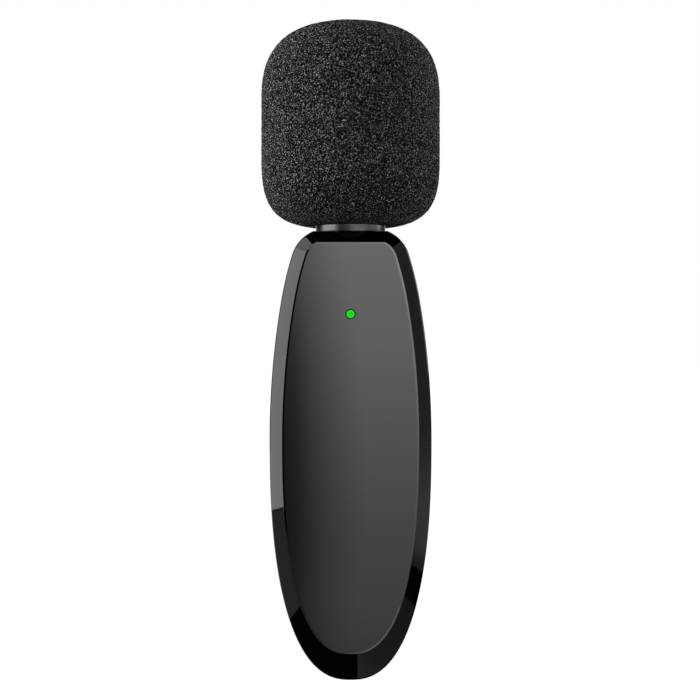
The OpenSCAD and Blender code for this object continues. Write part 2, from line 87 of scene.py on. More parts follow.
BACK_BEVEL, BACK_EDGE = 1.1, 0.25  # bevel round the back, and the softened part of the flanks at it

# Posts, and the screws that hold the covers together, as (x, z).
SCREWS = [(0.0, -4.0), (-3.4, 32.2), (3.4, 32.2)]
BOSS_D, POST_D = 2.4, 2.6  # in the front cover and in the rear one
POST_Y = -4.6  # where they meet
OVERLAP = 0.01  # how far they reach into their covers' walls
SCREW_D, SCREW_HOLE_R, SCREW_SEAT_R, SCREW_SEAT_Y = 1.4, 0.75, 1.25, -0.65

# What the flanks and the face are pierced for. A slot's size is its length and its width.
LIGHT_Z, GLOW_R, LIGHT_HOLE_R = 29.02, 0.42, 0.47
PORT_Y, PORT_Z, PORT_SLOT = -5.0, 21.5, (9.4, 3.62)
KEY_Y, KEY_Z, KEY_SLOT = -5.0, 19.5, (5.2, 2.0)
KEY_SIZE, KEY_FACE_X = (5.0, 1.8), 7.86
FLANGE_SIZE, FLANGE_X = (6.2, 2.6), (6.1, 6.6)
SLOT_END_X = 4.0  # how far in the slots are cut

# The head and its foam windscreen.
TUBE_D = 6.6
NECK_HOLE_D = 5.9
HEAD_Z = TOP_Z + 10.4  # top of the grille
COLLAR_D, COLLAR_H, COLLAR_EDGE, COLLAR_GAP = 7.0, 1.0, 0.07, 0.03
FOAM_R = 9.0
FOAM_H = 20.55
FOAM_Z = TOP_Z + 0.52
FOAM_CROWN = 8.2  # height of the rounded crown, and of the rounded foot
CROWN_POWER, FOOT_POWER = 2.78, 3.7
FOAM_FIT, FOAM_ROOM = 0.05, 0.1  # clearance round the head, and above the collar and the head
MOUTH_R = COLLAR_D / 2 + FOAM_FIT  # of the foam's hollow round the collar

# The clip: its arm, the pin, and the lugs on it. The ears belong to the housing and the cheeks to the arm.
PIVOT_Y, PIVOT_Z = 3.0, 25.0
PIN_D = 1.2
THROAT = 4.5
ARM_T = 1.3
ARM_MID_Z, ARM_HALF_W, ARM_HALF_H, ARM_POWER = 15.4, 5.2, 18.4, 3.2
ARM_EDGE = 0.28  # of the softened edges round it
PAD_T, BITE_GAP = 0.75, 0.06
JAW_TOP_Z, BEND_TOP_Z = 1.6, 7.0
EAR_X, EAR_T, EAR_R, EAR_ROOT = 2.3, 1.2, 1.25, 0.5
CHEEK_X, CHEEK_T, CHEEK_R, CHEEK_ROOT, CHEEK_FIT = 3.7, 1.0, 1.6, 0.3, 0.1
GROOVE_PITCH = 0.8  # of the four grooves in the bite, and of the four under the thumb
BITE_HALF_W, BITE_Z = 3.2, 0.0
THUMB_HALF_W, THUMB_Z = 3.0, 29.2
COIL_R, COIL_PITCH, COIL_TURNS = 1.1, 0.9, 3
WIRE_D, LEG_RISE, LEG_LEAN, LEG_GAP = 0.45, 5.0, 0.12, 0.02


# ---------------------------------------------------------------- mesh tools


def polar(degrees):
    """One millimetre in the direction of an angle."""
    return Vector((math.cos(math.radians(degrees)), math.sin(math.radians(degrees))))


def quarter_turn(steps):
    """Evenly spaced angles from 0 to a right angle."""
    return [math.pi / 2 * i / steps for i in range(steps + 1)]


def squared(amount, power):
    """An angle's sine or cosine on a superellipse: a power of 2 leaves it round, and more squares it."""
    return math.copysign(abs(amount) ** (2 / power), amount)


def outline(side=0.0, tip=0.0, top=0.0, corner=None, bend=FLANK_DEG + SHOULDER_DEG):
    """The housing's outline as (x, z), anticlockwise from the tip, drawn in by side, tip and top.
    corner is the radius of its top corners, and bend the angle at which the shoulders meet them."""
    a, b = BODY_W / 2 - side, TIP_DROP - tip
    corner = CORNER_R - side if corner is None else corner
    half = [
        (a * squared(math.sin(t), TIP_POWER), -b * squared(math.cos(t), TIP_POWER)) for t in quarter_turn(60)
    ]
    flank = Vector((BODY_W / 2 - FLANK_R, 0))
    shoulder = flank + (FLANK_R - SHOULDER_R) * polar(FLANK_DEG)
    middle = shoulder + (SHOULDER_R - side - corner) * polar(bend)
    last = math.degrees(math.asin((RISE - top - middle.y) / corner))
    for centre, r, start, stop, steps in (
        (flank, FLANK_R - side, 0, FLANK_DEG, 16),
        (shoulder, SHOULDER_R - side, FLANK_DEG, bend, 10),
        (middle, corner, bend, last, 24),
    ):
        for i in range(1, steps + 1):
            half.append(tuple(centre + r * polar(start + (stop - start) * i / steps)))
    half = [(x, z + WIDE_Z) for x, z in half]
    return half + [(-x, z) for x, z in reversed(half[1:])]


def flank_x(z):
    """Half-width of the housing near its widest point, at height z."""
    rise = z - WIDE_Z
    return BODY_W / 2 - FLANK_R + math.sqrt(FLANK_R**2 - rise**2) if rise > 0 else BODY_W / 2


def pill(size, grow=0.0, steps=16):
    """A bar with round ends as (y, z) about its middle, from its length along z and its width."""
    length, width = size
    r = width / 2 + grow
    half = (length - width) / 2
    out = []
    for end, start in ((1, 0.0), (-1, math.pi)):
        for i in range(steps + 1):
            t = start + math.pi * i / steps
            out.append((r * math.cos(t), end * half + r * math.sin(t)))
    return out


def at_depth(points, y):
    """Points given as (x, z), at a depth."""
    return [(x, y, z) for x, z in points]


def plain_ring(d, y):
    """The housing's outline at a depth, drawn in by as much all round."""
    return at_depth(outline(d, d, d), y)


def between(ring_a, ring_b, part):
    """The ring so far from one ring towards another."""
    return [tuple(Vector(a).lerp(Vector(b), part)) for a, b in zip(ring_a, ring_b)]


def fillet(before, corner, after, steps=5):
    """Points on a soft corner between two others, each a tuple of numbers."""
    out = []
    for i in range(steps + 1):
        t = i / steps
        out.append(tuple(
            (1 - t) ** 2 * a + 2 * t * (1 - t) * b + t * t * c for a, b, c in zip(before, corner, after)
        ))
    return out


def soft_edge(before, corner, after, steps=5):
    """Rings on a soft edge between two rings, where a third is its sharp edge."""
    paths = [fillet(b, c, a, steps) for b, c, a in zip(before, corner, after)]
    return [list(ring) for ring in zip(*paths)]


def soft_rings(before, corner, after, steps=5):
    """Rings of the housing's outline on a soft edge, each of the three given as its inset and its depth."""
    return [plain_ring(d, y) for d, y in fillet(before, corner, after, steps)]


def mesh_object(name, points, faces):
    """An object from points in millimetres."""
    mesh = bpy.data.meshes.new(name)
    mesh.from_pydata([tuple(c * MM for c in p) for p in points], [], faces)
    bm = bmesh.new()
    bm.from_mesh(mesh)
    bmesh.ops.recalc_face_normals(bm, faces=bm.faces)
    bm.to_mesh(mesh)
    bm.free()
    obj = bpy.data.objects.new(name, mesh)
    bpy.context.scene.collection.objects.link(obj)
    return obj


def skin(name, rings):
    """A closed surface through rings of as many points each, with a flat end at the first and at the last."""
    n = len(rings[0])
    points = [p for ring in rings for p in ring]
    faces = []
    for k in range(len(rings) - 1):
        for i in range(n):
            j = (i + 1) % n
            faces.append((k * n + i, k * n + j, (k + 1) * n + j, (k + 1) * n + i))
    faces.append(tuple(range(n - 1, -1, -1)))
    faces.append(tuple((len(rings) - 1) * n + i for i in range(n)))
    return mesh_object(name, points, faces)


def turned(name, profile, centre, axis="z", sides=96):
    """A piece turned on a lathe from a closed (radius, height) profile; a radius of 0 is on the axis."""
    points, faces, index = [], [], []
    for r, h in profile:
        count = 1 if r < 1e-6 else sides
        index.append((len(points), count))
        for k in range(count):
            t = 2 * math.pi * k / sides
            u, v = r * math.cos(t), r * math.sin(t)
            p = {"z": (u, v, h), "y": (u, h, v), "x": (h, u, v)}[axis]
            points.append(tuple(c + o for c, o in zip(p, centre)))
    for (a, na), (b, nb) in zip(index, index[1:] + index[:1]):
        if na == 1 and nb == 1:
            continue
        for k in range(sides):
            m = (k + 1) % sides
            if na == 1:
                faces.append((a, b + m, b + k))
            elif nb == 1:
                faces.append((a + k, a + m, b))
            else:
                faces.append((a + k, a + m, b + m, b + k))
    return mesh_object(name, points, faces)


def spindle(name, wall, centre, axis="y", sides=48):
    """A turned solid with flat ends, from the (radius, height) points of its wall."""
    return turned(name, [(0, wall[0][1])] + wall + [(0, wall[-1][1])], centre, axis, sides)


def rod(place, d, y0, y1):
    """A round bar from front to back, at a place given as (x, z)."""
    return spindle("rod", [(d / 2, y0), (d / 2, y1)], (place[0], 0, place[1]))


def wire(name, path, diameter, sides=12):
    """A round wire along a path of points, whose section keeps its twist from one point to the next."""
    path = [Vector(p) for p in path]
    across = Vector((1, 0, 0))
    rings = []
    for i, p in enumerate(path):
        along = (path[min(i + 1, len(path) - 1)] - path[max(i - 1, 0)]).normalized()
        across = (across - along * across.dot(along)).normalized()
        other = along.cross(across)
        rings.append([
            tuple(p + diameter / 2 * (math.cos(t) * across + math.sin(t) * other))
            for t in (2 * math.pi * k / sides for k in range(sides))
        ])
    return skin(name, rings)


def bake(obj):
    """Puts an object's modifiers into its mesh."""
    mesh = bpy.data.meshes.new_from_object(obj.evaluated_get(bpy.context.evaluated_depsgraph_get()))
    obj.modifiers.clear()
    obj.data = mesh


def combine(obj, tools, operation):
    """Cuts the tools from an object, or joins them to it, and removes them."""
    for tool in tools:
        step = obj.modifiers.new("step", "BOOLEAN")
        step.object, step.operation, step.solver = tool, operation, "EXACT"
    bake(obj)
    for tool in tools:
        bpy.data.objects.remove(tool)
    return obj


def smooth(obj, degrees=24):
    """Shades an object smooth, but for edges sharper than so many degrees."""
    obj.data.shade_smooth()
    obj.data.set_sharp_from_angle(angle=math.radians(degrees))
    return obj


# ---------------------------------------------------------------- material tools


def linear(code):
    """An sRGB hex colour as linear light, with an alpha of 1."""
    parts = [int(code[i:i + 2], 16) / 255 for i in (1, 3, 5)]
    return tuple(c / 12.92 if c <= 0.04045 else ((c + 0.055) / 1.055) ** 2.4 for c in parts) + (1.0,)


def connect(tree, node, inputs):
    """Sets a node's inputs to values, or links them where another node's output is given."""
    for name, value in inputs.items():
        if isinstance(value, bpy.types.NodeSocket):
            tree.links.new(value, node.inputs[name])
        else:
            node.inputs[name].default_value = value


def add(tree, kind, inputs=None, stops=None, **settings):
    """Adds a node with its settings and inputs. A colour ramp's stops are of place and hex colour or grey."""
    made = tree.nodes.new(kind)
    for name, value in settings.items():
        setattr(made, name, value)
    if stops:
        band = made.color_ramp.elements
        while len(band) < len(stops):
            band.new(0.5)
        for element, (place, tone) in zip(band, stops):
            element.position = place
            element.color = linear(tone) if isinstance(tone, str) else (tone, tone, tone, 1)
    connect(tree, made, inputs or {})
    return made


def every_mm(size):
    """The texture scale, on coordinates in metres, at which a pattern repeats every so many millimetres."""
    return 1 / (size * MM)


def blank_material(name):
    """A new material and its empty node tree."""
    made = bpy.data.materials.new(name)
    made.use_nodes = True
    made.node_tree.nodes.clear()
    return made, made.node_tree


def material(name):
    """A new material: its node tree, its object coordinates and its shader."""
    made, tree = blank_material(name)
    place = add(tree, "ShaderNodeTexCoord").outputs["Object"]
    shader = add(tree, "ShaderNodeBsdfPrincipled")
    add(tree, "ShaderNodeOutputMaterial", {"Surface": shader.outputs["BSDF"]})
    return made, tree, place, shader


# ---------------------------------------------------------------- materials


def polyurethane_foam():
    """Open-cell polyurethane foam, moulded, near-black, with no shine: painted shade makes the pits between
    its cells black, and painted highlights make its struts pale. Its cells are 0.32 mm wide. Its struts are
    too fine to show, and are drawn as specks of 0.12 mm."""
    made, tree, place, shader = material("polyurethane_foam")
    # Specks of painted highlight, where light would catch the struts.
    painted_strut_light = add(tree, "ShaderNodeTexNoise", {
        "Vector": place, "Scale": every_mm(0.12), "Detail": 1.0, "Roughness": 0.6,
    }).outputs["Fac"]
    # The middles of the cells, which the ramp below paints dark as shade in the pits.
    hollow = add(tree, "ShaderNodeTexVoronoi", {
        "Vector": place, "Scale": every_mm(0.32),
    }, feature="DISTANCE_TO_EDGE").outputs["Distance"]
    both = add(tree, "ShaderNodeMath", {0: hollow, 1: -0.5, 2: painted_strut_light}, operation="MULTIPLY_ADD").outputs[0]
    # Painted shade and highlights: black in the pits, up to a pale grey on the struts.
    colour = add(tree, "ShaderNodeValToRGB", {"Fac": both}, stops=[
        (0.33, "#000000"), (0.40, "#030303"), (0.49, "#1b1b1b"), (0.60, "#5b5b5c"), (0.70, "#949495"),
    ]).outputs["Color"]
    bump = add(tree, "ShaderNodeBump", {
        "Height": both, "Strength": 1.0, "Distance": 0.1 * MM,
    }).outputs["Normal"]
    connect(tree, shader, {
        "Base Color": colour, "Roughness": 0.6, "Normal": bump, "Specular IOR Level": 0.03,
    })
    return made


def polished_abs():
    """Black ABS from a mirror-polished mould: it mirrors the lights crisply, with the faintest waviness."""
    made, tree, place, shader = material("polished_abs")
    waves = add(tree, "ShaderNodeTexNoise", {
        "Vector": place, "Scale": every_mm(9.0), "Detail": 1.0,
    }).outputs["Fac"]
    bump = add(tree, "ShaderNodeBump", {
        "Height": waves, "Strength": 0.02, "Distance": 0.05 * MM,
    }).outputs["Normal"]
    connect(tree, shader, {"Base Color": linear("#020202"), "Roughness": 0.03, "IOR": 1.5, "Normal": bump})
    return made


def satin_abs():
    """Black ABS from a finely spark-eroded mould: an even, soft sheen. Such a grain is typically about
    0.06 mm wide, which is too fine to show, and is drawn as 0.12 mm."""
    made, tree, place, shader = material("satin_abs")
    grain = add(tree, "ShaderNodeTexNoise", {
        "Vector": place, "Scale": every_mm(0.12), "Detail": 2.0,
    }).outputs["Fac"]
    patch = add(tree, "ShaderNodeTexNoise", {
        "Vector": place, "Scale": every_mm(6.0), "Detail": 2.0,
    }).outputs["Fac"]
    rough = add(tree, "ShaderNodeMapRange", {
        "Value": patch, "To Min": 0.46, "To Max": 0.56,
    }).outputs["Result"]
    bump = add(tree, "ShaderNodeBump", {
        "Height": grain, "Strength": 0.12, "Distance": 0.03 * MM,
    }).outputs["Normal"]
    connect(tree, shader, {"Base Color": linear("#202022"), "Roughness": rough, "IOR": 1.5, "Normal": bump})
    return made


def plated_metal(name, code, rough, line=0.08):
    """Plated or bare metal, turned, drawn or rolled: fine lines round it draw out what it mirrors.
    Real lines are too fine to show, and are drawn line mm apart."""
    made, tree, place, shader = material(name)
    stretched = add(tree, "ShaderNodeMapping", {
        "Vector": place, "Scale": (0.15, 0.15, 1.0),
    }).outputs["Vector"]
    lines = add(tree, "ShaderNodeTexNoise", {
        "Vector": stretched, "Scale": every_mm(line), "Detail": 2.0,
    }).outputs["Fac"]
    bump = add(tree, "ShaderNodeBump", {
        "Height": lines, "Strength": 0.08, "Distance": 0.02 * MM,
    }).outputs["Normal"]
    varied = add(tree, "ShaderNodeMapRange", {
        "Value": lines, "To Min": rough * 0.8, "To Max": rough * 1.25,
    }).outputs["Result"]
    connect(tree, shader, {"Base Color": linear(code), "Metallic": 1.0, "Roughness": varied, "Normal": bump})
    return made


def moulded(name, code, rough, grain=0.2, strength=0.15):
    """A moulded, cast or fired piece in one colour, which differs slightly in tone from place to place.
    Its grain is drawn as coarse as it needs to be to show, in millimetres."""
    made, tree, place, shader = material(name)
    fine = add(tree, "ShaderNodeTexNoise", {
        "Vector": place, "Scale": every_mm(grain), "Detail": 2.0,
    }).outputs["Fac"]
    tone = add(tree, "ShaderNodeTexNoise", {
        "Vector": place, "Scale": every_mm(2.5), "Detail": 2.0,
    }).outputs["Fac"]
    dark = linear(code)
    pale = tuple(min(1, c * 1.35 + 0.002) for c in dark[:3]) + (1,)
    colour = add(tree, "ShaderNodeMix", {0: tone, 6: dark, 7: pale}, data_type="RGBA").outputs[2]
    bump = add(tree, "ShaderNodeBump", {
        "Height": fine, "Strength": strength, "Distance": 0.03 * MM,
    }).outputs["Normal"]
    connect(tree, shader, {"Base Color": colour, "Roughness": rough, "Normal": bump})
    return made


def lit_acrylic():
    """Clear moulded acrylic, a light pipe over a green diode: an even glow, a pale ring painted in as a
    highlight, and a dark wall.
    """
    made, tree, place, shader = material("lit_acrylic")
    apart = add(tree, "ShaderNodeVectorMath", {
        0: place, 1: (0, 0, LIGHT_Z * MM),
    }, operation="SUBTRACT").outputs[0]
    flat = add(tree, "ShaderNodeVectorMath", {0: apart, 1: (1, 0, 1)}, operation="MULTIPLY").outputs[0]
    reach = add(tree, "ShaderNodeVectorMath", {0: flat}, operation="LENGTH").outputs["Value"]
    outward = add(tree, "ShaderNodeMath", {0: reach, 1: every_mm(GLOW_R)}, operation="MULTIPLY").outputs[0]
    # The diode's glow, with a paler ring in it that is a painted highlight.
    glow = add(tree, "ShaderNodeValToRGB", {"Fac": outward}, stops=[
        (0.0, "#00d800"), (0.60, "#04da06"), (0.80, "#44e246"), (0.92, "#0e9810"), (1.0, "#06400a"),
    ]).outputs["Color"]
    connect(tree, shader, {
        "Base Color": linear("#031804"), "Roughness": 0.3, "IOR": 1.49, "Specular IOR Level": 0.03,
        "Emission Color": glow, "Emission Strength": 1.0,
    })
    return made


foam_finish = polyurethane_foam()
gloss = polished_abs()
satin = satin_abs()
green = lit_acrylic()
collar_finish = plated_metal("black_nickel", "#5c5d5f", 0.3)  # a dark mirror, a little blurred
neck_finish = plated_metal("satin_nickel", "#a3a4a6", 0.3)  # a mid grey with a soft shine
port_finish = plated_metal("drawn_steel", "#b4b5b7", 0.25)  # a pale grey with bright edges
pin_finish = plated_metal("ground_steel", "#6a6c6f", 0.38, line=0.05)  # a dull grey, matt from the wheel
wire_finish = plated_metal("spring_wire", "#a6a8ab", 0.28, line=0.05)  # a bright line along each turn
oxide_finish = plated_metal("black_oxide_steel", "#3a3b3e", 0.4)  # nearly black, with a broad dull shine
can_finish = plated_metal("drawn_aluminium", "#d2d3d5", 0.28)  # the palest metal, softly bright
gilt_finish = plated_metal("gilt_contact", "#d9b45c", 0.25)  # warm yellow, and bright
rubber_finish = moulded("silicone_rubber", "#0d0d0e", 0.6, grain=0.15, strength=0.25)  # dull black
epoxy_finish = moulded("moulded_epoxy", "#1a1a1c", 0.5)  # charcoal, with a low sheen
board_finish = moulded("solder_mask", "#14502c", 0.25, grain=0.4, strength=0.08)  # glossy green lacquer
lead_finish = moulded("lead_jacket", "#b02a28", 0.45)  # smooth red vinyl with a sheen
ceramic_finish = moulded("fired_ceramic", "#8a5f3a", 0.6)  # dry brown
antenna_finish = moulded("white_ceramic", "#e4e1d8", 0.55)  # chalky white
resin_finish = moulded("cast_resin", "#eeeadb", 0.3)  # milky, with a wet look
foil_finish = plated_metal("pouch_foil", "#c9cbcf", 0.35, line=0.4)  # pale, with the soft creases of foil
tape_finish = moulded("paper_tape", "#eeeae0", 0.7)  # flat off-white
plunger_finish = moulded("nylon_plunger", "#d8d0c0", 0.5)  # ivory, a little waxy
mesh_finish = moulded("woven_dust_cloth", "#26272a", 0.8, grain=0.08, strength=0.6)  # dark cloth with a nap

CAD_FINISH = {
    "light_pipe": green, "housing_screws": oxide_finish, "head_tube": neck_finish, "grille_cap": neck_finish,
    "dust_mesh": mesh_finish, "electret_capsule": can_finish, "capsule_gasket": rubber_finish,
    "mic_leads": lead_finish, "main_board": board_finish, "radio_chip": epoxy_finish, "crystal": can_finish,
    "charger_chip": epoxy_finish, "passives": ceramic_finish, "chip_antenna": antenna_finish,
    "status_led": resin_finish, "battery_cell": foil_finish, "battery_tape": tape_finish,
    "battery_leads": lead_finish, "usb_shell": port_finish, "usb_tongue": epoxy_finish,
    "usb_contacts": gilt_finish, "switch_body": epoxy_finish, "switch_plunger": plunger_finish,
    "clip_pad": rubber_finish, "clip_pin": pin_finish,
}


def crisp_edges(degrees=32):
    """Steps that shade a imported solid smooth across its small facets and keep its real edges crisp."""
    group = bpy.data.node_groups.new("crisp_edges", "GeometryNodeTree")
    for way in ("INPUT", "OUTPUT"):
        group.interface.new_socket("Geometry", in_out=way, socket_type="NodeSocketGeometry")
    solid = add(group, "NodeGroupInput").outputs[0]
    plain = add(group, "GeometryNodeRemoveAttribute", {
        "Geometry": solid, "Name": "custom_normal",
    }).outputs[0]
    joined = add(group, "GeometryNodeMergeByDistance", {
        "Geometry": plain, "Distance": 0.0005 * MM,
    }).outputs[0]
    angle = add(group, "GeometryNodeInputMeshEdgeAngle").outputs["Unsigned Angle"]
    flat = add(group, "FunctionNodeCompare", {
        "A": angle, "B": math.radians(degrees),
    }, operation="LESS_THAN").outputs[0]
    faces = add(group, "GeometryNodeSetShadeSmooth", {
        "Geometry": joined, "Shade Smooth": True,
    }, domain="FACE").outputs[0]
    edges = add(group, "GeometryNodeSetShadeSmooth", {
        "Geometry": faces, "Shade Smooth": flat,
    }, domain="EDGE").outputs[0]
    add(group, "NodeGroupOutput", {0: edges})
    return group


def finish_solids():
    """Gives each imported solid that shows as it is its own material."""
    shading = crisp_edges()
    for name, finish in CAD_FINISH.items():
        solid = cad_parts[name]
        solid.data.materials.clear()
        solid.data.materials.append(finish)
        solid.modifiers.new("crisp edges", "NODES").node_group = shading


def finish_piece(obj, finish, body, slot, *nodes):
    """Gives a piece its material and its body, and hides the solids that it stands for. Its slot is not used.
    """
    obj.data.materials.clear()
    obj.data.materials.append(finish)
    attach(obj, body)
    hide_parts(*nodes)


finish_solids()


# ---------------------------------------------------------------- foam windscreen

LIP_R = MOUTH_R + 0.35  # where the lip of its mouth turns out into the foot
BORE_R = TUBE_D / 2 + FOAM_FIT
SKIN_ROWS, SKIN_SIDES = 236, 400  # points of its skin, fine enough for its cells

CELL_W, STRUT_SHARE = 0.30, 0.5  # width of its cells, and the share of it that the struts take
STRUT_OUT, PIT_IN = 0.06, 0.05  # how far struts stand out and pits sink in
SWELL, SWELL_W = 0.02, 1.6  # gentle unevenness of the whole skin, and how wide its swells are
GRIT = 0.05  # how far, at most, single points sink in besides


def foam_profile():
    """The foam's outer side as (radius, height), from the lip of its mouth up to the crown."""
    foot, crown = [], []
    for t in quarter_turn(400):
        s, c = math.sin(t), math.cos(t)
        foot.append((FOAM_R * squared(s, FOOT_POWER), FOAM_CROWN * (1 - squared(c, FOOT_POWER))))
        crown.append((FOAM_R * squared(c, CROWN_POWER), FOAM_H - FOAM_CROWN * (1 - squared(s, CROWN_POWER))))
    return [(r, h) for r, h in foot if r > LIP_R] + crown


def evenly(path, count):
    """The same path with so many points, evenly spaced along it."""
    lengths = [0.0]
    for a, b in zip(path, path[1:]):
        lengths.append(lengths[-1] + math.hypot(b[0] - a[0], b[1] - a[1]))
    out, k = [], 0
    for i in range(count):
        want = lengths[-1] * i / (count - 1)
        while k < len(path) - 2 and lengths[k + 1] < want:
            k += 1
        t = (want - lengths[k]) / (lengths[k + 1] - lengths[k] or 1)
        out.append(tuple(a + (b - a) * t for a, b in zip(path[k], path[k + 1])))
    return out


def make_foam():
    """The windscreen: a ball with a bore for the head, a hollow for the collar and open cells in its skin."""
    mouth_top, bore_top = TOP_Z + COLLAR_H + FOAM_ROOM - FOAM_Z, HEAD_Z + FOAM_ROOM - FOAM_Z
    inner = [
        (0.0, bore_top), (BORE_R * 0.6, bore_top), (BORE_R, bore_top), (BORE_R, bore_top / 2),
        (BORE_R, mouth_top), (MOUTH_R, mouth_top), (MOUTH_R, 0.26), (MOUTH_R + 0.05, 0.16),
    ]
    outer = evenly(foam_profile(), SKIN_ROWS)
    foam = turned("foam_ball", inner + outer[:-1] + [(0.0, FOAM_H)], (0, AXIS_Y, FOAM_Z), "z", SKIN_SIDES)
    foam.data.update()
    normals = [v.normal.copy() for v in foam.data.vertices]
    grit = random.Random(11)
    for v, normal in zip(foam.data.vertices, normals):
        p = v.co / MM
        if math.hypot(p.x, p.y - AXIS_Y) < BORE_R + 0.6 and p.z < FOAM_Z + bore_top + 1:
            continue  # the bore and the lip of the mouth stay smooth
        near, far = noise.voronoi(p / CELL_W)[0][:2]
        strut = 1 - min(1, (far - near) / STRUT_SHARE)
        lift = STRUT_OUT * strut - PIT_IN + SWELL * noise.noise(p / SWELL_W) - GRIT * grit.random()
        v.co += normal * MM * lift
    smooth(foam, 60)
    foam.visible_glossy = False  # so that the corners of the polished bevel show the softbox beside the foam
    finish_piece(foam, foam_finish, "windscreen", "foam", "foam_windscreen")


make_foam()


# ---------------------------------------------------------------- neck collar


def make_collar():
    """The bright ring round the foot of the neck, with softly broken edges."""
    r, edge = COLLAR_D / 2, COLLAR_EDGE
    profile = (
        [(TUBE_D / 2, 0.0)]
        + fillet((r - edge, 0), (r, 0), (r, edge))
        + fillet((r, COLLAR_H - edge), (r, COLLAR_H), (r - edge, COLLAR_H))
        + [(TUBE_D / 2, COLLAR_H)]
    )
    collar = turned("collar_ring", profile, (0, AXIS_Y, TOP_Z + COLLAR_GAP), "z", 128)
    finish_piece(smooth(collar, 40), collar_finish, "housing", "collar_chrome", "neck_collar")


make_collar()


# ---------------------------------------------------------------- housing


def neck_cutter():
    """Cuts the neck's hole through both covers, and breaks its upper edge."""
    r = NECK_HOLE_D / 2
    wall = [(r, -3), (r, -0.12), (r + 0.2, 0.08), (r + 0.2, 2)]
    return spindle("neck_cutter", wall, (0, AXIS_Y, TOP_Z), "z", 96)


def slot_cutter(name, side, y, z, size):
    """Cuts a slot with rounded ends through a flank, and breaks its outer edge by a small even chamfer."""
    rings = []
    for grow, out in ((0.5, 0.42), (0.14, 0.06), (0.0, -0.12)):
        rings.append([(side * (flank_x(z + b) + out), y + a, z + b) for a, b in pill(size, grow)])
    rings.append([(side * SLOT_END_X, y + a, z + b) for a, b in pill(size)])
    return skin(name, rings)


def grip_grooves(half_w, surface_y, middle_z):
    """Cutters for four shallow grooves with sloping sides, across a surface."""
    cutters = []
    for i in range(4):
        z = middle_z + (i - 1.5) * GROOVE_PITCH
        rings = []
        for y, w in ((surface_y - 0.15, 0.16), (surface_y + 0.05, 0.24)):
            rings.append([(half_w, y, z - w), (half_w, y, z + w), (-half_w, y, z + w), (-half_w, y, z - w)])
        cutters.append(skin("groove", rings))
    return cutters


def bored_lug(name, x0, x1, r, base, bore, chamfer=0.1):
    """A lug on the hinge pin: round about the pin, with straight flanks that run to the depth of its base."""
    sign = -1 if base < PIVOT_Y else 1

    def section(x, d):
        out = []
        for i in range(25):
            t = math.pi * i / 24
            out.append((x, PIVOT_Y - sign * (r - d) * math.sin(t), PIVOT_Z + (r - d) * math.cos(t)))
        out.append((x, base, PIVOT_Z - r + d))
        out.append((x, base, PIVOT_Z + r - d))
        return out

    lug = skin(name, [
        section(x0, chamfer), section(x0 + chamfer, 0), section(x1 - chamfer, 0), section(x1, chamfer),
    ])
    drill = spindle("drill", [(bore / 2, x0 - 1), (bore / 2, x1 + 1)], (0, PIVOT_Y, PIVOT_Z), "x")
    return combine(lug, [drill], "DIFFERENCE")


def seam_rings(y, way):
    """Rings on a cover's softened outer edge at the seam. way is -1 in the front cover, 1 in the rear one."""
    d, deep = SEAM_EDGE
    return soft_rings((d, y), (0, y), (0, y + way * deep), 3)


def make_front():
    """The front cover: a flat face, a broad bevel round it and the rebate for the rear cover's lip."""
    step_y, seam_y = SPLIT_Y - REBATE_T, SPLIT_Y - SEAM / 2
    rings = [plain_ring(d, y) for d, y in (
        (HOLLOW_IN[0], FRONT_Y + WALL), (HOLLOW_IN[1], step_y), (REBATE_W, step_y), (REBATE_W, seam_y),
    )]
    rings += seam_rings(seam_y, -1)
    rim = plain_ring(0, RIM_Y)
    face, land, flat = (
        at_depth(outline(*(w + d for w in BEVEL), FACE_CORNER_R - d, FACE_BEND_DEG), FRONT_Y)
        for d in (0, LAND_W, FLAT_FROM)
    )
    # The fine land starts a little short of the face's edge, and so is tilted: by 12 degrees at the flanks
    # and the top, and by 10 at the tip.
    corner = between(rim, face, LAND_START)
    rings += soft_edge(plain_ring(0, RIM_Y + RIM_EDGE), rim, between(rim, face, 0.1))
    rings += [between(rim, face, 0.5)]
    rings += soft_edge(between(rim, face, 0.95), corner, between(corner, land, 0.15))
    rings += [between(corner, land, part) for part in (0.25, 0.85, 1)]
    rings += [flat]
    front = skin("polished_cover", rings)
    combine(front, [rod(s, BOSS_D, FRONT_Y + WALL - OVERLAP, POST_Y) for s in SCREWS], "UNION")
    # The solids' pilot holes are narrower, and the screws overlap them. Here they are as wide as the screws.
    pilots = [rod(s, SCREW_D, FRONT_Y + WALL + 0.4, -4) for s in SCREWS]
    r = LIGHT_HOLE_R
    wall = [(r + 0.13, FRONT_Y - 1), (r + 0.06, FRONT_Y - 0.02), (r, FRONT_Y + 0.05), (r, FRONT_Y + 2)]
    light_hole = spindle("light_hole", wall, (0, 0, LIGHT_Z))
    combine(front, pilots + [light_hole, neck_cutter()], "DIFFERENCE")
    finish_piece(smooth(front), gloss, "housing", "housing_gloss", "front_cover")


